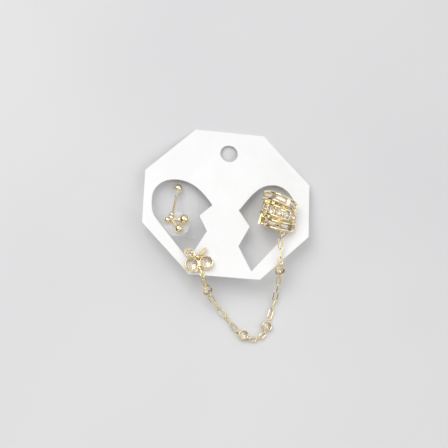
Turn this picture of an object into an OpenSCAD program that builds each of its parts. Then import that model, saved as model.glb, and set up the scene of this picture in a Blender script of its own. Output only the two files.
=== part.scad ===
// An ear chain earring and its small mate on a white display card.
// A cherry stud and a three-row ear cuff are joined by a fine chain with four set stones.
// Millimetres. The card lies face up with its far edge on the ground, and is held up at a slight
// tilt by the cuff and by the ball on the stud's post. The chain runs from its near edge to the ground.

/* [Card] */
// Width of the card across its straight sides
card_w = 60; // [56:0.5:64]
// Height of the card from its top edge to its bottom edge
card_h = 54.5; // [54:0.1:55]
// Length cut off each corner, along both sides
corner_cut = 17.4; // [15:0.1:19]
// Thickness of the card
card_t = 0.6; // [0.5:0.05:0.7]
// Diameter of the hang hole
hang_d = 6.4; // [5:0.1:8]
// Height of the hang hole above the middle of the card
hang_y = 19.1; // [18:0.1:21]
// Angle by which the card's bottom edge is lifted off the ground
card_tilt = 10.2; // [10.2:0.1:10.4]

/* [Cuff] */
// Radius of the middle of the cuff's wires
cuff_r = 6.15; // [6.1:0.01:6.2]
// Distance of the top row from the middle row, at the cuff's centre
top_rise = 3.6; // [3.55:0.01:3.7]
// Distance of the bottom row from the middle row, at the cuff's centre
bottom_rise = 3.5; // [3.45:0.01:3.6]
// Thickness of the wires beside the outer rows
rail_d = 0.92; // [0.8:0.02:0.94]
// Gap between a long stone and the bars at its ends
stone_end_gap = 0.12; // [0.08:0.02:0.3]
// Diameter of the round stones in the middle row
middle_stone_d = 2.45; // [2.2:0.05:2.5]

/* [Cherry stud] */
// Diameter of the two large stones
cherry_stone_d = 4; // [3.6:0.1:4.1]
// Outer diameter of their settings
cherry_cup_d = 4.9; // [4.8:0.05:5]
// Diameter of the post behind the card
post_d = 0.8; // [0.7:0.05:0.9]
// Diameter of the ball that closes a post
ball_d = 3; // [2.8:0.1:3.2]

/* [Chain] */
// Thickness of the wire of a link
link_wire = 0.44; // [0.4:0.01:0.46]
// Width of a link
link_w = 2; // [1.9:0.05:2.1]
// Distance from one link to the next
link_pitch = 3.35; // [3.33:0.01:3.37]
// Distance taken up by a small ring
ring_pitch = 2; // [1.98:0.01:2.02]
// Outer diameter of a set stone's rim
bezel_d = 3.6; // [3.4:0.1:3.7]
// Diameter of the stone in it
bezel_stone_d = 2.8; // [2.6:0.1:2.9]

/* [Hidden] */
$fn = 32;
gold = "gold";
clear = "lightcyan";
eps = 0.01;
gap = 0.1; // clearance left between neighbouring pieces

// Vectors and frames
function unit(v) = v / norm(v);
function turn_x(v, a) = [v.x, v.y * cos(a) - v.z * sin(a), v.y * sin(a) + v.z * cos(a)];
function turn_y(v, a) = [v.x * cos(a) + v.z * sin(a), v.y, v.z * cos(a) - v.x * sin(a)];
function turn_z(v, a) = [v.x * cos(a) - v.y * sin(a), v.x * sin(a) + v.y * cos(a), v.z];

// Places children with their x axis along a line and their z axis near a given direction
module aim(from, along, up) {
    x = unit(along);
    y = unit(cross(up, x));
    z = cross(x, y);
    multmatrix([
        [x.x, y.x, z.x, from.x], [x.y, y.y, z.y, from.y], [x.z, y.z, z.z, from.z], [0, 0, 0, 1]])
        children();
}

// A straight round bar between two points
module bar(from, to, r) {
    aim(from, to - from, abs(unit(to - from).z) > 0.9 ? [0, 1, 0] : [0, 0, 1])
        rotate([0, 90, 0]) cylinder(r = r, h = norm(to - from));
}

// The whole model is shifted so that the middle of its box stands over the origin
middle_y = 10.65;

// Card frame: x right, y up the card, z out of its front face. Ground frame: z up.
lift = (card_h / 2) * sin(card_tilt) + card_t * cos(card_tilt);
module on_card() {
    translate([0, middle_y, 0]) translate([0, card_t * sin(card_tilt), lift])
        rotate([-card_tilt, 0, 0]) children();
}
function from_card(p) =
    turn_x(p, -card_tilt) + [0, middle_y + card_t * sin(card_tilt), lift];

// Display card
heart_x = -0.7; // middle of the heart that the two windows make
card_steps = 8; // points on each curve of a window
post_at = [-9.6, -23.4];
post_hole_r = 0.55;

function curve(a, b, c, d) =
    [for (i = [0 : card_steps]) let (t = i / card_steps, s = 1 - t)
        a * s ^ 3 + b * 3 * s ^ 2 * t + c * 3 * s * t ^ 2 + d * t ^ 3];

// One lobe of the heart, from the shoulder by the crack to the start of the straight side.
// Its highest point is at top and its widest at side.
function lobe(shoulder, top, side) = concat(
    curve(shoulder, shoulder + [3.6, 4.8], [11.8, top], [17.8, top]),
    curve([17.8, top], [side - 3.5, top], [side, 3.8], [side, -0.6]),
    curve([side, -0.6], [side, -3.8], [side - 0.2, -5.9], [side - 2.1, -8.2]));

// The crack's corners follow each lobe, from the lower tip back up to the shoulder
right_window = concat(lobe([5, -2.2], 8.7, 25.9), [[10.2, -24.5], [5.3, -15.6], [9.1, -7.9]]);
left_window = concat(lobe([4.6, -1.1], 7.4, 26.4), [[12.3, -22.2], [6.2, -11], [9.1, -5.5]]);

module card_outline(inset = 0) {
    w = card_w / 2 - inset;
    h = card_h / 2 - inset;
    c = corner_cut - inset * (2 - sqrt(2));
    polygon([
        [c - w, h], [w - c, h], [w, h - c], [w, c - h],
        [w - c, -h], [c - w, -h], [-w, c - h], [-w, h - c]]);
}

module display_card() {
    color("white") on_card() translate([0, 0, -card_t]) linear_extrude(card_t) difference() {
        card_outline();
        translate([heart_x, 0]) polygon(right_window);
        translate([heart_x, 0]) mirror([1, 0]) polygon(left_window);
        translate([0, hang_y]) circle(d = hang_d);
        translate(post_at) circle(r = post_hole_r);
    }
}

// Clear film behind the left window, which carries the second stud
film_t = 0.25;
film_x = [-28.5, -10.5];
film_y = [-14, 6.5];
film_back = -card_t - 0.05 - film_t;
film_inset = 0.8; // how far the film stays inside the card's outline
film_slot_r = 0.6;

module clear_film() {
    color(clear) on_card() difference() {
        translate([0, 0, film_back]) linear_extrude(film_t) intersection() {
            card_outline(film_inset);
            translate([film_x[0], film_y[0]]) square([film_x[1] - film_x[0], film_y[1] - film_y[0]]);
        }
        bar(second_root, second_ball, film_slot_r);
    }
}

// Ear cuff. Its own frame: x towards the gap, y to the front, z down the card.
cuff_at = [18.56, -2.3, 1.6];
cuff_lean = 13.8;
cuff_nod = 19.1;
row_nod = 9.7; // how far the outer rows swing away at the front
row_side = 6; // and at the left
row_shift = 0.9; // how far the outer rows are offset along the row, to either side
bottom_less = 0.3; // the bottom row's smaller radius
top_start = -2; // where the rows start, beside the gap
bottom_start = 14;
rows_end = 176;
outer_half = 1.25; // from the middle of an outer row to its wires
middle_half = 1.7; // the same for the middle row
middle_start = 21;
middle_rail_d = 0.8;
knob_r = 0.62; // balls at the ends of the wires
top_bars = [17, 69.5, 122, 171];
bottom_bars = [15, 50, 96, 141, 172];
middle_stones = [41, 69.5, 98, 126.5, 155];
prong_step = 14.25; // from a round stone to the prongs beside it
prong_r = 0.33;
prong_out = 0.24; // how far the prongs stand outside the middle of the wires
prong_half = 0.75; // from the middle of the row to its prongs
prong_post = [0.12, 0.26]; // how far the bar under them lies inside, and its radius
bar_size = [0.75, 1.25]; // radial and round the cuff
bar_in = 0.1; // how far the bars lie inside the middle of the wires
stone_w = 2 * (outer_half - rail_d / 2 - 0.06); // width of the long stones
stone_h = 0.95;
stone_table_up = 0.08; // how far the long stones' tables stand above the middle of the wires

module on_cuff() {
    on_card() translate(cuff_at) rotate([0, 0, -cuff_lean]) rotate([90 + cuff_nod, 0, 0]) children();
}
// side is 1 for the top row and -1 for the bottom row
function row_at(side) = [-side * row_shift, 0, side > 0 ? -top_rise : bottom_rise];
function row_r(side) = side > 0 ? cuff_r : cuff_r - bottom_less;
module in_row(side) {
    translate(row_at(side)) rotate([-side * row_nod, -side * row_side, 0]) children();
}
function from_row(p, side) =
    let (t = turn_y(turn_x(p, -side * row_nod), -side * row_side) + row_at(side))
    from_card(turn_z(turn_x(t, 90 + cuff_nod), -cuff_lean) + cuff_at);

module rail(r, start, z, d) {
    translate([0, 0, z]) rotate([0, 0, start]) rotate_extrude(angle = rows_end - start)
        translate([r, 0]) circle(d = d);
}
module knobs(r, start, z) {
    for (a = [start, rows_end])
        rotate([0, 0, a]) translate([r, 0, z]) sphere(r = knob_r);
}
module outer_row(side, start, bars) {
    r = row_r(side);
    for (z = [-outer_half, outer_half]) {
        rail(r, start, z, rail_d);
        knobs(r, start, z);
    }
    for (a = bars)
        rotate([0, 0, a]) translate([r - bar_in, 0, 0])
            cube([bar_size.x, bar_size.y, 2 * outer_half + 2 * gap], center = true);
}
module middle_row() {
    for (z = [-middle_half, middle_half]) {
        rail(cuff_r, middle_start, z, middle_rail_d);
        rotate([0, 0, rows_end]) translate([cuff_r, 0, z]) sphere(r = knob_r);
    }
    for (i = [0 : len(middle_stones)]) {
        a = i == 0 ? middle_stones[0] - prong_step : middle_stones[i - 1] + prong_step;
        rotate([0, 0, a]) {
            translate([cuff_r - prong_post[0], 0, -middle_half])
                cylinder(r = prong_post[1], h = 2 * middle_half);
            for (z = [-prong_half, prong_half])
                translate([cuff_r + prong_out, 0, z]) sphere(r = prong_r);
        }
    }
}

// Plain band behind, between the planes of the outer rows
band_r = [5.45, 6.3];
band_start = 169;
band_end = 302;
band_half = 1.55; // beyond the middle of the outer rows
band_box = 30;
module band_trim(side) {
    in_row(side) translate([0, 0, -side * (band_half + band_box / 2)]) cube(band_box, center = true);
}
module back_band() {
    difference() {
        rotate([0, 0, band_start]) rotate_extrude(angle = band_end - band_start)
            translate([band_r[0], -band_box / 4]) square([band_r[1] - band_r[0], band_box / 2]);
        band_trim(1);
        band_trim(-1);
    }
}
// Upright bars that tie the three rows together at each end
tie_ends = [[21, 2.3], [173, 4.3]]; // angle, half height
tie_in = 0.25; // how far they lie inside the middle of the wires
tie_r = 0.42;
module row_ties() {
    for (t = tie_ends)
        rotate([0, 0, t[0]]) translate([cuff_r - tie_in, 0, -t[1]]) cylinder(r = tie_r, h = 2 * t[1]);
}

// Loop under the bottom row that takes the chain
loop_angle = 74;
loop_r = 0.78;
loop_wire = 0.4;
loop_sunk = 0.11; // how far the loop goes into the wire above it
loop_drop = outer_half + rail_d / 2 + loop_r - loop_sunk;
cuff_loop_at = [row_r(-1) * cos(loop_angle), row_r(-1) * sin(loop_angle), loop_drop];

module cuff_frame() {
    color(gold) on_cuff() {
        in_row(1) outer_row(1, top_start, top_bars);
        middle_row();
        in_row(-1) {
            outer_row(-1, bottom_start, bottom_bars);
            translate(cuff_loop_at) rotate([0, 0, loop_angle]) rotate([0, 90, 0])
                rotate_extrude() translate([loop_r, 0]) circle(d = loop_wire);
        }
        row_ties();
        back_band();
    }
}

// Cut stones, as rings of points closed by a flat top and bottom
module ring_solid(rings) {
    n = len(rings[0]);
    last = len(rings) - 1;
    sides = [for (k = [0 : last - 1]) for (i = [0 : n - 1]) let (j = (i + 1) % n)
        [k * n + i, (k + 1) * n + i, (k + 1) * n + j, k * n + j]];
    bottom = [for (i = [0 : n - 1]) i];
    top = [for (i = [0 : n - 1]) (last + 1) * n - 1 - i];
    polyhedron(points = [for (r = rings) for (p = r) p], faces = concat([bottom], sides, [top]));
}
function round_ring(r, z, n) =
    [for (i = [0 : n - 1]) let (a = 360 * (i + 0.5) / n) [r * cos(a), r * sin(a), z]];
// A round stone with its girdle at z = 0
module round_stone(d, sides = 12) {
    color(clear) ring_solid([
        round_ring(0.08 * d, -0.38 * d, sides),
        round_ring(0.5 * d, -0.02 * d, sides),
        round_ring(0.5 * d, 0.02 * d, sides),
        round_ring(0.3 * d, 0.16 * d, sides)]);
}
function corner_ring(l, w, c, z) = [
    for (q = [[1, 1], [-1, 1], [-1, -1], [1, -1]]) for (end = q.x * q.y > 0 ? [0, 1] : [1, 0])
        [q.x * (end == 0 ? l : l - c), q.y * (end == 0 ? w - c : w), z]];
// A long stone with its table at z = 0, its length along x
module long_stone(l, w, h) {
    color(clear) ring_solid([
        corner_ring(l / 2 - 0.5 * w, 0.08 * w, 0.03, -h),
        corner_ring(l / 2, w / 2, 0.2, -0.32 * h),
        corner_ring(l / 2 - 0.05, w / 2 - 0.05, 0.2, -0.24 * h),
        corner_ring(l / 2 - 0.34, w / 2 - 0.34, 0.12, 0)]);
}
module long_stone_between(bars, i, side) {
    r = row_r(side);
    l = 2 * r * sin((bars[i + 1] - bars[i]) / 2) - bar_size.y - 2 * stone_end_gap;
    on_cuff() in_row(side) rotate([0, 0, (bars[i] + bars[i + 1]) / 2])
        translate([r + stone_table_up, 0, 0]) rotate([90, 0, 90]) long_stone(l, stone_w, stone_h);
}
module top_baguette(i) long_stone_between(top_bars, i, 1);
module bottom_baguette(i) long_stone_between(bottom_bars, i, -1);
module middle_stone(i) {
    on_cuff() rotate([0, 0, middle_stones[i]]) translate([cuff_r + 0.05, 0, 0])
        rotate([0, 90, 0]) round_stone(middle_stone_d);
}

// Cherry stud
cherries = [[-12, -24.25], [-6.95, -23.08]];
cup_low = 0.35;
cup_high = 2.15;
seat_low = 1.2;
cup_rim_d = 0.42;
hub_at = [-10, -21.2, 1.3];
leaf_left = [-10.4, -20.9, -15, -19.2]; // x and y of its root and tip
leaf_right = [-9.7, -20.7, -6.9, -17.5];
leaf_left_w = 2.9;
leaf_left_low = 0.9; // height of the leaf's back above the card
leaf_left_h = 0.9;
leaf_left_floor = 0.4; // thickness under the stones
leaf_rim = 0.45; // width of its rim at the tips
leaf_inner_w = 2.25;
leaf_right_w = 1.6;
leaf_right_low = 1.1;
leaf_right_h = 0.55;
rib_r = 0.2;
hub_r = 0.85;
stem_r = 0.34;
stem_up = 1.4; // height at which the stems meet the settings
plate_r = 0.3;
plate_up = 0.65;
plate_in = [2, 0.35]; // from the middles of the settings to the plate's ends
post_pad = [1.1, 0.7]; // radius and height
scallop = [-10.3, -25.9, 0.85, 1.05]; // x, y, radius and height
junction_at = [-9.1, -25.2, 1.1];
junction_r = 0.8;
stud_loop_at = [-7.9, -27.5, 1.2];
post_ball_at = [post_at.x, post_at.y,
    (ball_d / 2 - (card_h / 2 - post_at.y) * sin(card_tilt)) / cos(card_tilt) - card_t];
leaf_stone_d = 1;
leaf_stone_spots = [[1.25, 0], [2.35, 0.52], [2.35, -0.6], [3.45, 0]]; // along and across the leaf

module cherry_cup(at) {
    translate([at.x, at.y, 0]) {
        difference() {
            translate([0, 0, cup_low]) cylinder(d = cherry_cup_d, h = cup_high - cup_low);
            translate([0, 0, seat_low]) cylinder(d = cherry_stone_d + 2 * gap - 0.1, h = cup_high);
            translate([0, 0, cup_low - eps]) cylinder(d = cherry_stone_d - 1, h = cup_high);
        }
        translate([0, 0, cup_high]) rotate_extrude()
            translate([(cherry_cup_d - cup_rim_d) / 2, 0]) circle(d = cup_rim_d);
    }
}
module lens(l, w) {
    r = (l * l / 4 + w * w / 4) / w;
    translate([l / 2, 0]) intersection() {
        translate([0, r - w / 2]) circle(r = r, $fn = 64);
        translate([0, w / 2 - r]) circle(r = r, $fn = 64);
    }
}
module on_leaf(leaf, z) {
    d = [leaf[2] - leaf[0], leaf[3] - leaf[1]];
    translate([leaf[0], leaf[1], z]) rotate([0, 0, atan2(d.y, d.x)]) children();
}
function leaf_length(leaf) = norm([leaf[2] - leaf[0], leaf[3] - leaf[1]]);

module cherry_stud() {
    color(gold) on_card() {
        for (c = cherries) cherry_cup(c);
        // back plate between the two settings, with the post behind it
        bar([cherries[0].x + plate_in.x, cherries[0].y + plate_in.y, plate_up],
            [cherries[1].x - plate_in.x, cherries[1].y - plate_in.y, plate_up], plate_r);
        translate([post_at.x, post_at.y, cup_low]) cylinder(r = post_pad[0], h = post_pad[1]);
        translate(post_ball_at) cylinder(d = post_d, h = cup_low - post_ball_at.z + post_pad[1] / 2);
        // stems that meet at the hub
        bar(hub_at, [cherries[0].x + 0.6, cherries[0].y + 2.2, stem_up], stem_r);
        bar(hub_at, [cherries[1].x - 0.8, cherries[1].y + 2.1, stem_up], stem_r);
        translate(hub_at) sphere(r = hub_r);
        // left leaf with a raised rim round its four stones
        on_leaf(leaf_left, leaf_left_low) {
            linear_extrude(leaf_left_h) difference() {
                lens(leaf_length(leaf_left), leaf_left_w);
                translate([leaf_rim, 0]) lens(leaf_length(leaf_left) - 2 * leaf_rim, leaf_inner_w);
            }
            linear_extrude(leaf_left_floor) lens(leaf_length(leaf_left), leaf_left_w);
        }
        // right leaf, narrow and plain, with a rib
        on_leaf(leaf_right, leaf_right_low) {
            linear_extrude(leaf_right_h) lens(leaf_length(leaf_right), leaf_right_w);
            bar([0.3, 0, 0.5], [leaf_length(leaf_right) - 0.35, 0, 0.5], rib_r);
        }
        // small scallop and the junction that carries the loop
        translate([scallop[0], scallop[1], cup_low]) cylinder(r = scallop[2], h = scallop[3]);
        translate(junction_at) sphere(r = junction_r);
        bar(junction_at, stud_loop_at + [-0.35, 0.75, 0], junction_r / 2);
        translate(stud_loop_at) rotate_extrude() translate([loop_r, 0]) circle(d = loop_wire);
    }
}
module cherry_stone(i) {
    on_card() translate([cherries[i].x, cherries[i].y, cup_high - gap])
        round_stone(cherry_stone_d - gap, 16);
}
module leaf_stones() {
    on_card() on_leaf(leaf_left, 1.76)
        for (s = leaf_stone_spots) translate([s.x, s.y, 0]) round_stone(leaf_stone_d, 8);
}
// A drilled ball that closes a post; its bore faces +z
ball_bore_low = -0.4;
module closing_ball() {
    difference() {
        sphere(d = ball_d);
        translate([0, 0, ball_bore_low]) cylinder(d = post_d + gap, h = ball_d);
    }
}
module stud_back_ball() {
    color(gold) on_card() translate(post_ball_at) closing_ball();
}

// Second stud, in the left window: two polished cherries and a leaf on a clear disc
second_root = [-19.6, -6.6, 0.6];
second_ball = [-17.6, 5, -2.75];
second_disc_at = [-17.6, -9.2, film_back + film_t + 0.1];
second_disc_r = 4.5;
second_disc_t = 0.35;
second_balls = [[-15.5, -7.9, 1.65, 1.75], [-17.2, -11.5, 1.6, 1.6]]; // x, y, z and radius
second_buds = [[-19.9, -6.3, 1.2, 0.95], [-21.3, -8.5, 1.1, 1.05]];
second_leaf = [-20.1, -7.6, 1.25]; // middle of the leaf between the buds
second_leaf_r = 1.12;
second_middle = [-19.8, -7.9];
second_plate = [0.35, 1]; // bottom and top of the plate that joins them
second_arm_w = 0.7;
clutch_r = [1.35, 0.7];
clutch_l = 2.2;

module second_stud() {
    pieces = concat(second_balls, second_buds);
    color(gold) on_card() {
        translate([0, 0, second_plate[0]]) linear_extrude(second_plate[1] - second_plate[0]) {
            translate(second_middle) circle(d = 1.6 * second_arm_w);
            for (b = pieces) {
                d = [b[0], b[1]] - second_middle;
                translate(second_middle) rotate([0, 0, atan2(d.y, d.x)])
                    translate([0, -second_arm_w / 2]) square([norm(d), second_arm_w]);
            }
        }
        for (b = pieces) translate([b[0], b[1], b[2]]) sphere(r = b[3]);
        translate(second_leaf) sphere(r = second_leaf_r);
        bar(second_root, second_ball, post_d / 2);
    }
}
module second_stud_back_ball() {
    d = unit(second_root - second_ball);
    color(gold) on_card() aim(second_ball, cross([1, 0, 0], d), d) closing_ball();
}
module second_stud_disc() {
    color(clear) on_card() difference() {
        translate(second_disc_at) cylinder(r = second_disc_r, h = second_disc_t);
        bar(second_root, second_ball, film_slot_r);
    }
}
// Clear conical clutch on the post, just under the ball
module second_stud_clutch() {
    d = unit(second_root - second_ball);
    color(clear) on_card() aim(second_ball + d * (ball_d / 2 + 0.1), cross([1, 0, 0], d), d) difference() {
        cylinder(r1 = clutch_r[0], r2 = clutch_r[1], h = clutch_l);
        translate([0, 0, -eps]) cylinder(d = post_d + gap, h = clutch_l + 2 * eps);
    }
}

// Chain. Two wires that hook into each other have their joint halfway between their middles.
wire_step = (loop_wire + link_wire) / 4 + gap / 2; // from a joint to the middle of either wire
// Knots of the route from the stud's loop to the cuff's loop, in the ground frame before the
// shift to the middle. The two ends are replaced by the loops themselves.
route_knots = [
    [-7.9, -27.0, 11.3], [-7.2, -28.8, 9.9], [-5.6, -31.0, 7.4], [-4.0, -33.6, 5.2], [-2.2, -35.4, 3.8],
    [0, -37.2, 2.4], [3.6, -40.9, 1.15], [7.2, -44.7, 1], [10.2, -46.7, 1], [13, -47.4, 1],
    [15.5, -46.7, 1], [17.2, -44.8, 1], [18.6, -39.4, 1], [20.1, -33.0, 1.5], [20.4, -29.0, 3.2],
    [20.2, -25.8, 6.1], [19.85, -22.9, 9.3], [19.5, -20, 10.9], [19.5, -16.5, 10.8], [19.3, -13.4, 10.6],
    [18.9, -11.0, 11.2]];
knot_steps = 12;
chain_end = from_row(cuff_loop_at + [0, 0, loop_r - wire_step], -1);
chain_start = from_card(stud_loop_at + [0.1, 0.7 * wire_step - loop_r, 0.85 * wire_step]);
route = concat(
    [chain_start],
    [for (i = [1 : len(route_knots) - 1]) route_knots[i] + [0, middle_y, 0]],
    [chain_end]);

function knot(i) = route[max(0, min(len(route) - 1, i))];
function spline(i, t) = 0.5 * (2 * knot(i) + (knot(i + 1) - knot(i - 1)) * t
    + (2 * knot(i - 1) - 5 * knot(i) + 4 * knot(i + 1) - knot(i + 2)) * t ^ 2
    + (3 * knot(i) - knot(i - 1) - 3 * knot(i + 1) + knot(i + 2)) * t ^ 3);
path = concat(
    [for (i = [0 : len(route) - 2]) for (s = [0 : knot_steps - 1]) spline(i, s / knot_steps)],
    [chain_end]);

// Pieces in order: kind, and the turn of the piece about the chain, where 0 lies flat
FLAT = 8;
EDGE = 82;
chain_pieces = [
    ["ring", EDGE], ["ring", FLAT], ["bezel", 0], ["link", FLAT], ["link", EDGE], ["link", 14],
    ["link", EDGE], ["link", FLAT], ["bezel", -6], ["ring", FLAT], ["ring", 76], ["ring", 0],
    ["bezel", 4], ["link", 10], ["link", EDGE], ["link", FLAT], ["link", EDGE], ["link", 12],
    ["bezel", 0], ["ring", FLAT], ["link", EDGE], ["link", FLAT], ["ring", EDGE]];
rim_loop_r = 0.72;
rim_loop_at = bezel_d / 2 + 0.58;
// from a bezel's middle to the joint in its loop
bezel_reach = rim_loop_at + rim_loop_r - wire_step;
function pitch_of(kind) = kind == "bezel" ? 2 * bezel_reach : kind == "link" ? link_pitch : ring_pitch;

// Index of the path's segment where the distance from p reaches d
function reach(i, p, d) = i >= len(path) - 2 || norm(path[i + 1] - p) >= d ? i : reach(i + 1, p, d);
function between(i, p, d) =
    let (a = norm(path[i] - p), b = norm(path[i + 1] - p))
    path[i] + (path[i + 1] - path[i]) * (d - a) / (b - a);
function joints(k, i, p) = k == len(chain_pieces) - 1 ? [p, chain_end]
    : let (d = pitch_of(chain_pieces[k][0]), n = reach(i, p, d))
    concat([p], joints(k + 1, n, between(n, p, d)));
chain_joints = joints(0, 0, chain_start);

// A closed wire whose path has round ends, lying in the xy plane and centred
link_arc = 8; // points on each round end
wire_sides = 6;
module link_loop(l, w, wire) {
    r = (w - wire) / 2;
    s = (l - w) / 2;
    n = 2 * link_arc;
    points = [for (i = [0 : n - 1]) let (a = 360 * (i + 0.5) / n) for (j = [0 : wire_sides - 1])
        let (b = 360 * j / wire_sides, q = r + wire / 2 * cos(b))
        [(cos(a) > 0 ? s : -s) + q * cos(a), q * sin(a), wire / 2 * sin(b)]];
    faces = [for (i = [0 : n - 1]) for (j = [0 : wire_sides - 1])
        let (i2 = (i + 1) % n, j2 = (j + 1) % wire_sides)
        [i * wire_sides + j, i * wire_sides + j2, i2 * wire_sides + j2, i2 * wire_sides + j]];
    polyhedron(points = points, faces = faces);
}
// Places a piece between its two joints, turned about the chain
module on_chain(k) {
    a = chain_joints[k];
    b = chain_joints[k + 1];
    aim((a + b) / 2, b - a, [0, 0, 1]) rotate([chain_pieces[k][1], 0, 0]) children();
}
module chain_wire(k) {
    l = norm(chain_joints[k + 1] - chain_joints[k]) + link_wire * 2 + gap;
    color(gold) on_chain(k) link_loop(l, min(link_w, l - 0.02), link_wire);
}
bezel_h = 1.6;
bezel_rim_d = 0.34;
module bezel(k) {
    color(gold) on_chain(k) {
        difference() {
            translate([0, 0, -bezel_h / 2]) cylinder(d = bezel_d, h = bezel_h);
            cylinder(d = bezel_stone_d + 0.1, h = bezel_h);
            cylinder(d = bezel_stone_d - 0.8, h = 2 * bezel_h, center = true);
        }
        translate([0, 0, bezel_h / 2]) rotate_extrude()
            translate([(bezel_d - bezel_rim_d) / 2, 0]) circle(d = bezel_rim_d);
        for (x = [-rim_loop_at, rim_loop_at]) translate([x, 0, 0]) rotate([90, 0, 0])
            rotate_extrude() translate([rim_loop_r, 0]) circle(d = loop_wire);
    }
}
module bezel_stone(k) {
    on_chain(k) translate([0, 0, bezel_h / 2 - 0.12]) round_stone(bezel_stone_d - 0.1);
}

function places_of(kind) = [for (k = [0 : len(chain_pieces) - 1]) if (chain_pieces[k][0] == kind) k];
rings = places_of("ring");
links = places_of("link");
bezels = places_of("bezel");
function numbered(name, n) = [for (i = [1 : n]) str(name, i)];

display_card();
clear_film();
cuff_frame();
for (i = [0 : 2]) top_baguette(i);
for (i = [0 : 4]) middle_stone(i);
for (i = [0 : 3]) bottom_baguette(i);
cherry_stud();
for (i = [0 : 1]) cherry_stone(i);
leaf_stones();
stud_back_ball();
for (i = [0 : len(rings) - 1]) chain_wire(rings[i]);
for (i = [0 : len(links) - 1]) chain_wire(links[i]);
for (i = [0 : 3]) bezel(bezels[i]);
for (i = [0 : 3]) bezel_stone(bezels[i]);
second_stud();
second_stud_back_ball();
second_stud_disc();
second_stud_clutch();
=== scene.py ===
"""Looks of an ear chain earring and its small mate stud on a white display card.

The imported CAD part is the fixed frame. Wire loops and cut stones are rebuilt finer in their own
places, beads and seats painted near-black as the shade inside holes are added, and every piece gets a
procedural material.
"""
import math

import bmesh
import bpy
import numpy as np
from mathutils import Matrix, Vector


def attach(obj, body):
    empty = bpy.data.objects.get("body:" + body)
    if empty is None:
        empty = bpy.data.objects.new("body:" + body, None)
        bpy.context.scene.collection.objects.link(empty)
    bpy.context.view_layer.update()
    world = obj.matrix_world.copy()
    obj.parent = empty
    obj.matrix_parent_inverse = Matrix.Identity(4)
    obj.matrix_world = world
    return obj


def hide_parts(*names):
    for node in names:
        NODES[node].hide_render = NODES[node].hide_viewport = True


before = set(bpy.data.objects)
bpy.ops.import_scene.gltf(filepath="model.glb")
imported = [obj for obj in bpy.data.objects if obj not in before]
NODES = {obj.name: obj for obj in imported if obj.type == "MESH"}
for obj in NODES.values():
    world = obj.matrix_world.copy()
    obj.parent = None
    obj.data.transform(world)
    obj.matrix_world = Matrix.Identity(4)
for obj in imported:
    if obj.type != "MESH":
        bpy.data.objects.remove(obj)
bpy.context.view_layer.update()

MM = 0.001
BODY = "root"

# Card frame: x right, y up the card, z out of its front face
CARD_TILT = math.radians(10.2)
CARD_H = 54.5 * MM
CARD_T = 0.6 * MM
MIDDLE_Y = 10.65 * MM
CARD_LIFT = CARD_H / 2 * math.sin(CARD_TILT) + CARD_T * math.cos(CARD_TILT)
ON_CARD = Matrix.Translation((0, MIDDLE_Y + CARD_T * math.sin(CARD_TILT), CARD_LIFT)) \
    @ Matrix.Rotation(-CARD_TILT, 4, "X")

# Cuff frame: x towards its gap, y to the front, z down the card
CUFF_AT = Vector((18.56, -2.3, 1.6)) * MM
CUFF_LEAN, CUFF_NOD = math.radians(13.8), math.radians(19.1)
ROW_NOD, ROW_SIDE = math.radians(9.7), math.radians(6)
BOTTOM_ROW_AT = Vector((0.9, 0, 3.5)) * MM
BOTTOM_ROW_R = 5.85 * MM
BOTTOM_BARS = [15, 50, 96, 141, 172]
BAR_FACE_OUT = 0.275 * MM  # from the middle of the wires to a bar's outer face
ON_CUFF = ON_CARD @ Matrix.Translation(CUFF_AT) @ Matrix.Rotation(-CUFF_LEAN, 4, "Z") \
    @ Matrix.Rotation(math.pi / 2 + CUFF_NOD, 4, "X")
IN_BOTTOM_ROW = ON_CUFF @ Matrix.Translation(BOTTOM_ROW_AT) @ Matrix.Rotation(ROW_SIDE, 4, "Y") \
    @ Matrix.Rotation(ROW_NOD, 4, "X")

# Camera, as turned about the card's own axes
CAM_ROLL = math.radians(-2.2)
CAM_PITCH = math.radians(-18.3)
CAM_YAW = math.radians(9.2)
CAM_DISTANCE = 428.8 * MM
CAM_ASIDE = (-1.15 * MM, -7.33 * MM)
CAM_CLIP = (0.01, 20)
IMAGE_SIDE = 448
FOCAL_PX = 1200
SENSOR = 36

# Edges below these angles are smoothed
SHARP_DEG = 32  # on pieces kept as the CAD made them
ROUND_DEG = 60  # on round pieces made here


# Meshes
def add_mesh(name, verts, faces, smooth_deg=None):
    mesh = bpy.data.meshes.new(name)
    mesh.from_pydata([tuple(v) for v in verts], [], faces)
    mesh.validate()
    bm = bmesh.new()
    bm.from_mesh(mesh)
    bmesh.ops.recalc_face_normals(bm, faces=bm.faces)
    bm.to_mesh(mesh)
    bm.free()
    if smooth_deg is not None:
        soften(mesh, smooth_deg)
    obj = bpy.data.objects.new(name, mesh)
    bpy.context.scene.collection.objects.link(obj)
    return obj


def soften(mesh, degrees):
    for p in mesh.polygons:
        p.use_smooth = True
    mesh.set_sharp_from_angle(angle=math.radians(degrees))


class Parts:
    """Verts and faces of several closed shapes gathered into one piece."""

    def __init__(self):
        self.verts = []
        self.faces = []
        self.backs = set()  # faces that have the second material

    def add(self, verts, faces, backs=0):
        """backs is how many of the faces, counted from the last one, have the second material."""
        start, first = len(self.verts), len(self.faces)
        self.verts += list(verts)
        self.faces += [[i + start for i in f] for f in faces]
        self.backs |= set(range(first + len(faces) - backs, first + len(faces)))

    def make(self, name, material, slot, smooth_deg=None, replaced=(), back=None):
        obj = add_mesh(name, self.verts, self.faces, smooth_deg)
        dress(obj, material, replaced)
        if back is not None:
            obj.data.materials.append(back)
            for i in self.backs:
                obj.data.polygons[i].material_index = 1
        return obj


def dress(obj, material, replaced=()):
    obj.data.materials.clear()
    obj.data.materials.append(material)
    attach(obj, BODY)
    if replaced:
        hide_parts(*replaced)
    return obj


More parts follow.
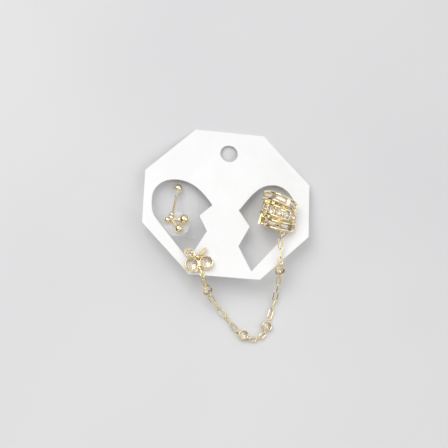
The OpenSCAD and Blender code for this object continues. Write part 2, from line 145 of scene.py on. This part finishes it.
def tube(path, radius, sides, closed):
    """A round tube along a list of points, with the cross-section kept from twisting."""
    n = len(path)
    verts, faces = [], []
    tangents = []
    for i in range(n):
        a = path[i - 1] if closed or i > 0 else path[0]
        b = path[(i + 1) % n] if closed or i < n - 1 else path[-1]
        tangents.append((b - a).normalized())
    side = tangents[0].orthogonal().normalized()
    for p, t in zip(path, tangents):
        side = (side - t * side.dot(t)).normalized()
        up = t.cross(side)
        for j in range(sides):
            a = 2 * math.pi * j / sides
            verts.append(p + (side * math.cos(a) + up * math.sin(a)) * radius)
    last = n if closed else n - 1
    for i in range(last):
        for j in range(sides):
            k, j2 = (i + 1) % n, (j + 1) % sides
            faces.append([i * sides + j, i * sides + j2, k * sides + j2, k * sides + j])
    if not closed:
        faces.append(list(range(sides))[::-1])
        faces.append([(n - 1) * sides + j for j in range(sides)])
    return verts, faces


def ball(at, radius, rings=10, sides=16):
    verts = [at + Vector((0, 0, radius))]
    for i in range(1, rings):
        a = math.pi * i / rings
        for j in range(sides):
            b = 2 * math.pi * j / sides
            out = Vector((math.sin(a) * math.cos(b), math.sin(a) * math.sin(b), math.cos(a)))
            verts.append(at + out * radius)
    verts.append(at - Vector((0, 0, radius)))
    faces = [[0, 1 + j, 1 + (j + 1) % sides] for j in range(sides)]
    for i in range(rings - 2):
        for j in range(sides):
            a, b = 1 + i * sides + j, 1 + i * sides + (j + 1) % sides
            faces.append([a, a + sides, b + sides, b])
    end = len(verts) - 1
    first = end - sides
    faces += [[end, first + (j + 1) % sides, first + j] for j in range(sides)]
    return verts, faces


# Where the CAD pieces are
NORMAL_DIGITS = 2  # faces whose normals agree to this are one flat face
SAME_POINT = 0.001 * MM


def points_of(node):
    return np.array([v.co for v in NODES[node].data.vertices], float)


def loop_fit(node):
    """Centre, long axis, cross axis, length, width and wire thickness of a closed wire loop."""
    p = points_of(node)
    middle = p.mean(0)
    _, axes = np.linalg.eigh(np.cov((p - middle).T))
    normal, across, along = axes[:, 0], axes[:, 1], axes[:, 2]
    sizes, shift = [], np.zeros(3)
    for axis in (along, across, normal):
        d = (p - middle) @ axis
        sizes.append(d.max() - d.min())
        shift += axis * (d.max() + d.min()) / 2
    return Vector(middle + shift), Vector(along), Vector(across), sizes


def table_fit(node):
    """Centre, up direction and long direction of a cut stone's table, from its largest flat face."""
    mesh = NODES[node].data
    groups = {}
    for f in mesh.polygons:
        key = tuple(round(c, NORMAL_DIGITS) for c in f.normal)
        groups.setdefault(key, []).append(f)
    best = max(groups.values(), key=lambda fs: sum(f.area for f in fs))
    area = sum(f.area for f in best)
    centre = sum((f.center * f.area for f in best), Vector()) / area
    up = sum((f.normal * f.area for f in best), Vector()).normalized()
    pts = np.array([mesh.vertices[i].co for f in best for i in f.vertices], float)
    _, axes = np.linalg.eigh(np.cov((pts - pts.mean(0)).T))
    along = Vector(axes[:, 2])
    along = (along - up * along.dot(up)).normalized()
    return centre, up, along


def size_along(points, axis):
    d = points @ np.array(axis)
    return d.min(), d.max()


def frame_at(origin, x, z):
    """Matrix with its x and z axes along two directions."""
    z = z.normalized()
    y = z.cross(x).normalized()
    x = y.cross(z)
    m = Matrix((x, y, z)).transposed().to_4x4()
    m.translation = origin
    return m


# Materials
def new_material(name, fixed):
    """A material with the fixed values on its shader's own sockets."""
    m = bpy.data.materials.new(name)
    m.use_nodes = True
    for socket, value in fixed.items():
        shader_of(m).inputs[socket].default_value = value
    return m


def shader_of(m):
    return m.node_tree.nodes["Principled BSDF"]


def noise(tree, scale, detail, rough=0.5):
    coord = tree.nodes.new("ShaderNodeTexCoord")
    tex = tree.nodes.new("ShaderNodeTexNoise")
    tex.inputs["Scale"].default_value = scale
    tex.inputs["Detail"].default_value = detail
    tex.inputs["Roughness"].default_value = rough
    tree.links.new(coord.outputs["Object"], tex.inputs["Vector"])
    return tex.outputs["Fac"]


def ramp(tree, source, low, high, at=(0.35, 0.65)):
    """A colour ramp from one value or colour to another."""
    node = tree.nodes.new("ShaderNodeValToRGB")
    for stop, value, place in zip(node.color_ramp.elements, (low, high), at):
        stop.color = (*value, 1) if isinstance(value, tuple) else (value, value, value, 1)
        stop.position = place
    tree.links.new(source, node.inputs["Fac"])
    return node.outputs["Color"]


def vary(m, socket, low, high, **grain):
    """Let a value or colour of the shader change with a noise."""
    tree = m.node_tree
    tree.links.new(ramp(tree, noise(tree, **grain), low, high), shader_of(m).inputs[socket])


def bump(m, strength, distance, **grain):
    tree = m.node_tree
    node = tree.nodes.new("ShaderNodeBump")
    node.inputs["Strength"].default_value = strength
    node.inputs["Distance"].default_value = distance
    tree.links.new(noise(tree, **grain), node.inputs["Height"])
    tree.links.new(node.outputs["Normal"], shader_of(m).inputs["Normal"])


def gold_material(name, dark, light, rough):
    m = new_material(name, {"Metallic": 1})
    vary(m, "Base Color", dark, light, scale=420, detail=4)
    vary(m, "Roughness", *rough, scale=1500, detail=2)
    bump(m, strength=0.12, distance=0.03 * MM, scale=2600, detail=2)
    return m


def stone_material():
    m = new_material("stone_clear", {"IOR": 1.5, "Transmission Weight": 0.9})
    vary(m, "Base Color", (0.99, 0.955, 0.93), (1.0, 0.985, 0.97), scale=650, detail=2)
    vary(m, "Roughness", 0.01, 0.04, scale=1800, detail=1)
    return m


def backing_material(name, dark, light, rough):
    """The bright backing of a cut stone."""
    m = new_material(name, {"Metallic": 0.65})
    vary(m, "Base Color", dark, light, scale=900, detail=2)
    vary(m, "Roughness", *rough, scale=1300, detail=2)
    return m


def card_material():
    m = new_material("card_white", {})
    vary(m, "Base Color", (0.9, 0.9, 0.895), (0.95, 0.95, 0.945), scale=60, detail=6, rough=0.6)
    vary(m, "Roughness", 0.38, 0.5, scale=300, detail=3)
    bump(m, strength=0.1, distance=0.04 * MM, scale=1400, detail=6, rough=0.7)
    return m


def film_material():
    m = new_material("film_clear", {"Alpha": 0.03, "Specular IOR Level": 0.2})
    vary(m, "Base Color", (0.9, 0.91, 0.92), (0.96, 0.97, 0.98), scale=90, detail=2)
    vary(m, "Roughness", 0.05, 0.14, scale=200, detail=2)
    return m


def silicone_material():
    m = new_material("silicone_clear", {"Alpha": 0.34})
    vary(m, "Base Color", (0.84, 0.83, 0.8), (0.95, 0.95, 0.94), scale=500, detail=3)
    vary(m, "Roughness", 0.22, 0.4, scale=900, detail=2)
    return m


def floor_material():
    m = new_material("floor_pale", {"Roughness": 0.7})
    vary(m, "Base Color", (0.70, 0.70, 0.71), (0.75, 0.75, 0.755), scale=6, detail=3)
    return m


GOLD = gold_material("gold_polished", (0.9, 0.75, 0.43), (1.0, 0.88, 0.61), (0.06, 0.15))
# near-black gold: painted shade standing in for the dark inside of the bars' holes
GOLD_PAINTED_SHADE = gold_material("gold_painted_shade", (0.05, 0.04, 0.02), (0.09, 0.07, 0.03), (0.24, 0.6))
STONE = stone_material()
BACKING = backing_material("stone_backing", (0.99, 0.915, 0.84), (1.0, 0.97, 0.915), (0.06, 0.2))
LONG_BACKING = backing_material("long_stone_backing", (0.86, 0.76, 0.67), (0.93, 0.86, 0.79), (0.45, 0.6))
CARD = card_material()
FILM = film_material()
SILICONE = silicone_material()


# Wire loops
WIRE_SIDES = 14
PLAIN_SIDES = 6  # of the CAD's wire
END_STEPS = 18  # round each end of a loop
SIDE_STEPS = 4  # along each straight side
RING_CUT = 0.04 * MM  # the hairline where a ring was closed


def loop_path(centre, along, across, length, width, wire, cut):
    """Middle line of a wire loop with round ends, with a fine cut in one side when asked."""
    r, s = (width - wire) / 2, (length - width) / 2
    flat = []
    for end in (1, -1):
        for i in range(END_STEPS + 1):
            a = math.pi * (i / END_STEPS - 0.5) + (0 if end > 0 else math.pi)
            flat.append((end * s + r * math.cos(a), r * math.sin(a)))
        for i in range(1, SIDE_STEPS):
            flat.append((end * (s - 2 * s * i / SIDE_STEPS), end * r))
    path = [centre + along * x + across * y for x, y in flat]
    if cut:
        gap = (path[1] - path[0]).normalized() * cut / 2
        path = [path[0] + gap] + path[1:] + [path[0] - gap]
    return path


def wire_loops():
    names = sorted(n for n in NODES if n.startswith(("jump_ring", "chain_link")))
    for n in names:
        centre, along, across, (length, width, wire) = loop_fit(n)
        cut = RING_CUT if n.startswith("jump_ring") else 0
        # the plain wire is measured across its flat sides, and the round one has the same corners
        wire = wire / math.cos(math.pi / PLAIN_SIDES)
        path = loop_path(centre, along, across, length, width, wire, cut)
        parts = Parts()
        parts.add(*tube(path, wire / 2, WIRE_SIDES, not cut))
        parts.make("fine_" + n, GOLD, "gold", ROUND_DEG, (n,))


# Cut stones
FIT = 0.995  # a fine stone's diameter as a share of the plain one's
MAINS = 8  # sides of the table
CROWN = 0.16  # heights as shares of the stone's diameter
KITE_UP = 0.083
GIRDLE_HALF = 0.015
TABLE = 0.55  # radii as shares of the girdle's
KITE_OUT = 0.79
BELLY_OUT = 0.38
BELLY_DOWN = 0.64  # share of the pavilion's depth


def brilliant(parts, place, d, pavilion):
    """A round brilliant with its girdle at z = 0. The pavilion's depth is a share of its diameter d."""
    r, n = d / 2, MAINS

    def ring(radius, z, count, turn):
        return [place @ Vector((radius * math.cos(2 * math.pi * (i + turn) / count),
                                radius * math.sin(2 * math.pi * (i + turn) / count), z))
                for i in range(count)]

    top = ring(r * TABLE, CROWN * d, n, 0.5)
    mid = ring(r * KITE_OUT, KITE_UP * d, n, 0)
    high = ring(r, GIRDLE_HALF * d, 2 * n, 0)
    low = ring(r, -GIRDLE_HALF * d, 2 * n, 0)
    belly = ring(r * BELLY_OUT, -pavilion * d * BELLY_DOWN, n, 0.5)
    tip = [place @ Vector((0, 0, -pavilion * d))]
    verts = top + mid + high + low + belly + tip
    # where each ring starts: table, middle, girdle's upper and lower edge, belly and tip
    t, m, g, u, b, culet = (k * n for k in (0, 1, 2, 4, 6, 7))
    faces = [[t + i for i in range(n)]]
    for i in range(n):
        j = (i + 1) % n
        faces.append([t + i, m + j, t + j])
        # the crown's facets from the middle ring to the girdle and the table
        faces.append([m + i, g + 2 * i, g + 2 * i + 1])
        faces.append([m + i, g + 2 * i, g + (2 * i - 1) % (2 * n)])
        faces.append([t + i, m + i, g + 2 * i + 1])
        faces.append([t + i, m + j, g + 2 * i + 1])
        for k in (2 * i, 2 * i + 1):
            k2 = (k + 1) % (2 * n)
            faces.append([g + k, g + k2, u + k2, u + k])
    pavilion_faces = []
    for i in range(n):
        j = (i + 1) % n
        pavilion_faces.append([u + 2 * i, u + 2 * i + 1, b + i])
        pavilion_faces.append([u + 2 * i + 1, u + (2 * i + 2) % (2 * n), b + i])
        pavilion_faces.append([u + (2 * i + 2) % (2 * n), b + j, b + i])
        pavilion_faces.append([b + i, b + j, culet])
    parts.add(verts, faces + pavilion_faces, len(pavilion_faces))


def stone_place(node):
    """A stone's table centre, its axes, and how far it reaches along each of them."""
    centre, up, along = table_fit(node)
    pts = points_of(node)
    low, high = size_along(pts, up)
    side = up.cross(along)
    across = [size_along(pts, a) for a in (along, side)]
    return centre, up, along, side, low, high, across


def round_stones():
    names = [n for n in NODES if n.startswith(("middle_stone", "cherry_stone", "bezel_stone"))]
    for n in sorted(names):
        centre, up, along, _, low, high, across = stone_place(n)
        d = max(hi - lo for lo, hi in across)
        place = frame_at(centre - up * CROWN * d, along, up)
        parts = Parts()
        brilliant(parts, place, d * FIT, (high - low) / d - CROWN)
        parts.make("fine_" + n, STONE, "stone", replaced=(n,), back=BACKING)


def step_cut(parts, place, steps, backs):
    """A long stone from rings of (half length, half width, corner, z), closed at both ends."""
    rings = []
    for hl, hw, c, z in steps:
        corners = [(hl, hw - c), (hl - c, hw), (c - hl, hw), (-hl, hw - c),
                   (-hl, c - hw), (c - hl, -hw), (hl - c, -hw), (hl, c - hw)]
        rings.append([place @ Vector((x, y, z)) for x, y in corners])
    n = len(rings[0])
    verts = [p for r in rings for p in r]
    faces = [[(len(rings) - 1) * n + i for i in range(n)]]
    for k in reversed(range(len(rings) - 1)):
        for i in range(n):
            j = (i + 1) % n
            faces.append([k * n + i, k * n + j, (k + 1) * n + j, (k + 1) * n + i])
    faces.append(list(range(n)))
    parts.add(verts, faces, backs * n + 1)


# The rings of a long stone from its keel to its table: how far each lies in from the ends, as a
# share of the half width, then half width, corner and depth as shares of the stone's own
LONG_RINGS = [(0.88, 0.06, 0.07, 1), (0.5, 0.5, 0.6, 0.72), (0.16, 0.84, 0.85, 0.5), (0, 1, 1, 0.31),
              (0, 1, 1, 0.27), (0.16, 0.84, 0.9, 0.13), (0.4, 0.6, 0.7, 0)]
LONG_BACKS = 3  # rings of facets under the girdle
LONG_CORNER = 0.2 * MM


def long_stones():
    names = [n for n in NODES if "baguette" in n]
    for n in sorted(names):
        centre, up, along, side, low, high, (ln, wd) = stone_place(n)
        hl, hw, h = (ln[1] - ln[0]) / 2, (wd[1] - wd[0]) / 2, high - low
        # the frame sits in the middle of the stone's length and width, at its table
        mid = centre + along * ((ln[0] + ln[1]) / 2 - centre.dot(along)) \
            + side * ((wd[0] + wd[1]) / 2 - centre.dot(side))
        place = frame_at(mid, along, up)
        steps = [(hl - hw * ends, hw * wide, LONG_CORNER * corner, -h * deep)
                 for ends, wide, corner, deep in LONG_RINGS]
        parts = Parts()
        step_cut(parts, place, steps, LONG_BACKS)
        parts.make("fine_" + n, STONE, "stone", replaced=(n,), back=LONG_BACKING)


# Pieces kept as the CAD made them
def exact_pieces():
    gold = ["cuff_frame", "cherry_stud", "stud_back_ball", "second_stud", "second_stud_back_ball"]
    gold += [n for n in NODES if n.startswith("bezel_") and "stone" not in n]
    finish = {n: GOLD for n in gold}
    finish.update(display_card=CARD, clear_film=FILM)
    finish.update(second_stud_disc=SILICONE, second_stud_clutch=SILICONE)
    for n in NODES:
        mesh = NODES[n].data
        mesh.materials.clear()
        if n in finish:
            mesh.materials.append(finish[n])
            soften(mesh, SHARP_DEG)
        else:
            mesh.materials.append(STONE if "stone" in n or "baguette" in n else GOLD)


# Small settings
PRONGS = 6
PRONG_R = 0.27 * MM
PRONG_OUT = 0.12 * MM  # outside the stone's edge
PRONG_DOWN = 0.33 * MM  # below the stone's table
LEAF_BEAD_R = 0.15 * MM
LEAF_BEAD_UP = 0.13 * MM  # top of a bead above the tables
LEAF_STEP = 1.4 * MM  # stones of the leaf that are nearer than this have a bead between them
HOLE_R = 0.4 * MM
HOLE_WIRE = 0.06 * MM
HOLE_STEPS = 20
SEAT_OUT = 0.02 * MM  # a seat's face, painted dark as the shade of a hole, above the bar's
SEAT_DEPTH = 0.1 * MM


def cherry_prongs():
    """Beads folded over the edge of each large stone."""
    for n in ("cherry_stone_1", "cherry_stone_2"):
        centre, up, along, side, _, _, across = stone_place(n)
        girdle = max(hi - lo for lo, hi in across) / 2
        parts = Parts()
        for i in range(PRONGS):
            a = 2 * math.pi * (i + 0.5) / PRONGS
            out = along * math.cos(a) + side * math.sin(a)
            parts.add(*ball(centre + out * (girdle + PRONG_OUT) - up * PRONG_DOWN, PRONG_R))
        parts.make("prongs_" + n, GOLD, "gold", ROUND_DEG)


def islands(node):
    """The points of each separate stone in a node."""
    bm = bmesh.new()
    bm.from_mesh(NODES[node].data)
    bmesh.ops.remove_doubles(bm, verts=bm.verts, dist=SAME_POINT)
    bm.verts.ensure_lookup_table()
    seen, found = set(), []
    for start in bm.verts:
        if start in seen:
            continue
        todo, island = [start], []
        seen.add(start)
        while todo:
            v = todo.pop()
            island.append(v.co.copy())
            for e in v.link_edges:
                w = e.other_vert(v)
                if w not in seen:
                    seen.add(w)
                    todo.append(w)
        found.append(island)
    bm.free()
    return found


def leaf_stones():
    """The leaf's four stones, and tiny beads between them."""
    turn = ON_CARD.to_3x3()
    along, up = turn @ Vector((1, 0, 0)), turn @ Vector((0, 0, 1))
    stones, beads, middles = Parts(), Parts(), []
    for points in islands("leaf_stones"):
        low, high = (f(p.dot(up) for p in points) for f in (min, max))
        middle = sum(points, Vector()) / len(points)
        middle += up * (high - middle.dot(up))
        d = 2 * max((p - middle - up * (p - middle).dot(up)).length for p in points)
        place = frame_at(middle - up * CROWN * d, along, up)
        brilliant(stones, place, d * FIT, (high - low) / d - CROWN)
        middles.append(middle)
    for i, a in enumerate(middles):
        for b in middles[i + 1:]:
            if (a - b).length < LEAF_STEP:
                at = (a + b) / 2 + up * (LEAF_BEAD_UP - LEAF_BEAD_R)
                beads.add(*ball(at, LEAF_BEAD_R, rings=8, sides=12))
    stones.make("fine_leaf_stones", STONE, "stone", replaced=("leaf_stones",), back=BACKING)
    beads.make("leaf_beads", GOLD, "gold", ROUND_DEG)


def seat_circle(place, out):
    """Points of a circle on a bar, as far out from its face as asked."""
    turns = [2 * math.pi * i / HOLE_STEPS for i in range(HOLE_STEPS)]
    return [place @ Vector((out, HOLE_R * math.cos(a), HOLE_R * math.sin(a))) for a in turns]


def bar_holes():
    """Round seats painted near-black as the shade inside a hole, with a raised lip, on the bars of the
    cuff's bottom row.
    """
    lips, shade_seats = Parts(), Parts()
    n = HOLE_STEPS
    seat_faces = [list(range(n)), list(range(n, 2 * n))]
    seat_faces += [[i, (i + 1) % n, n + (i + 1) % n, n + i] for i in range(n)]
    for deg in BOTTOM_BARS:
        place = IN_BOTTOM_ROW @ Matrix.Rotation(math.radians(deg), 4, "Z") \
            @ Matrix.Translation((BOTTOM_ROW_R + BAR_FACE_OUT, 0, 0))
        lips.add(*tube(seat_circle(place, 0), HOLE_WIRE, sides=8, closed=True))
        shade_seats.add(seat_circle(place, SEAT_OUT) + seat_circle(place, SEAT_OUT - SEAT_DEPTH), seat_faces)
    lips.make("bar_hole_lips", GOLD, "gold", ROUND_DEG)
    # the seats are painted near-black as the shade inside each hole
    shade_seats.make("bar_hole_painted_shade", GOLD_PAINTED_SHADE, "gold")


# Stage
def area_light(name, at, size, power):
    """A soft light that looks at the part."""
    light = bpy.data.lights.new(name, "AREA")
    light.shape = "RECTANGLE"
    light.size, light.size_y = size
    light.energy = power
    obj = bpy.data.objects.new(name, light)
    bpy.context.scene.collection.objects.link(obj)
    obj.location = at
    obj.rotation_mode = "QUATERNION"
    obj.rotation_quaternion = (-Vector(at)).to_track_quat("-Z", "Y")


LIGHTS = {  # place, size and power
    "key": ((-0.35, 0.25, 0.6), (0.5, 0.5), 2.4),
    "fill": ((0.5, -0.1, 0.45), (0.35, 0.6), 0.6),
    "front": ((0.0, -0.55, 0.35), (0.6, 0.2), 0.45)}
SKY_BRIGHT = (0.2, 0.3, 0.93)  # where the sky is brightest
SKY_SPREAD = (0.3, 0.8)  # how near to that it is dim and bright
SKY_DIM = (0.1, 0.095, 0.09)
SKY_LIGHT = (0.98, 0.98, 0.99)
SKY_STRENGTH = 0.88
FLOOR_HALF = 3


def stage():
    corners = [Vector((x, y, 0)) * FLOOR_HALF for x, y in ((-1, -1), (1, -1), (1, 1), (-1, 1))]
    floor = add_mesh("floor", corners, [[0, 1, 2, 3]])
    floor.data.materials.append(floor_material())
    for name, (at, size, power) in LIGHTS.items():
        area_light(name, at, size, power)
    world = bpy.data.worlds.new("studio")
    bpy.context.scene.world = world
    world.use_nodes = True
    # a soft sky, bright overhead and towards the far right, and dim at the horizon
    tree = world.node_tree
    back = tree.nodes["Background"]
    coord = tree.nodes.new("ShaderNodeTexCoord")
    toward = tree.nodes.new("ShaderNodeVectorMath")
    toward.operation = "DOT_PRODUCT"
    toward.inputs[1].default_value = Vector(SKY_BRIGHT).normalized()
    tree.links.new(coord.outputs["Generated"], toward.inputs[0])
    colour = ramp(tree, toward.outputs["Value"], SKY_DIM, SKY_LIGHT, SKY_SPREAD)
    tree.links.new(colour, back.inputs["Color"])
    back.inputs["Strength"].default_value = SKY_STRENGTH
    bpy.context.scene.view_settings.view_transform = "Standard"


def camera():
    turn = Matrix.Rotation(CAM_ROLL, 3, "Z") @ Matrix.Rotation(CAM_PITCH, 3, "X") \
        @ Matrix.Rotation(CAM_YAW, 3, "Y")
    back = turn.transposed()
    at = back @ Vector((*CAM_ASIDE, CAM_DISTANCE))
    place = back.to_4x4()
    place.translation = at
    data = bpy.data.cameras.new("camera")
    data.sensor_width = SENSOR
    data.lens = FOCAL_PX / IMAGE_SIDE * SENSOR
    data.clip_start, data.clip_end = CAM_CLIP
    obj = bpy.data.objects.new("camera", data)
    bpy.context.scene.collection.objects.link(obj)
    obj.matrix_world = ON_CARD @ place
    bpy.context.scene.camera = obj


exact_pieces()
wire_loops()
round_stones()
long_stones()
cherry_prongs()
leaf_stones()
bar_holes()
stage()
camera()
